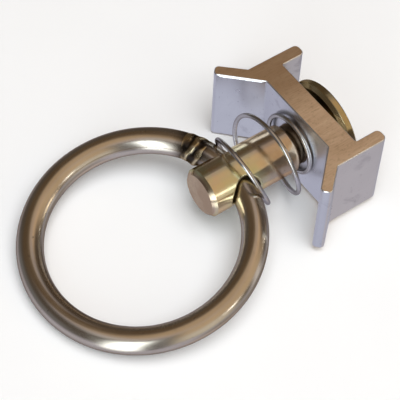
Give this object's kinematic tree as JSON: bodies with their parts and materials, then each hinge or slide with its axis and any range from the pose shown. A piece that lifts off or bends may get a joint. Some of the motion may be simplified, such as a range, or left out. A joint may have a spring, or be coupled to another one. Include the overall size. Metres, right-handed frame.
{
  "type": "roof anchor",
  "caption": "Rail roof anchor: splayed aluminium slide block sprung against a round clamp head on a swivelling stud, with a welded tie-off ring through the stud.",
  "frame": {"origin": "on the block's lower cut end, in the middle of the web, straight below the stud's axis", "axes": "+Z is the block's extrusion direction, +X runs along the stud from the ring to the clamp head, +Y across the web"},
  "size_m": [0.0834, 0.0572, 0.0239],
  "materials": {
    "block_aluminium": "mill-finish extrusion, sawn ends",
    "yellow_zinc_steel": "turned steel, bright zinc plate with yellow iridescent passivation",
    "bronze_zinc_steel": "drawn round bar, polished, zinc plate with bronze-yellow passivation",
    "ring_weld": "butt weld, dressed and plated over",
    "spring_steel": "bright drawn spring wire"
  },
  "bodies": {
    "slide_block": {"slide_block": "block_aluminium"},
    "clamp_head": {"clamp_head": "yellow_zinc_steel"},
    "stud": {"stud": "yellow_zinc_steel", "spring": "spring_steel"},
    "ring": {"ring": "bronze_zinc_steel", "ring_weld": "ring_weld"}
  },
  "joints": [
    {"name": "clamp_slide", "type": "slide", "parent": "slide_block", "child": "clamp_head", "axis": [1, 0, 0], "range_m": [0, 0.0024], "stiffness_N_per_m": 1100, "springref_m": -0.004, "deforming": ["spring"]},
    {"name": "stud_swivel", "type": "hinge", "parent": "clamp_head", "child": "stud", "pos_m": [0, 0, 0.01085], "axis": [1, 0, 0], "continuous": true},
    {"name": "ring_swing", "type": "hinge", "parent": "stud", "child": "ring", "pos_m": [-0.0206, 0, 0.01085], "axis": [0, 0.9994, 0.034], "range_deg": [-91, 109]}
  ]
}
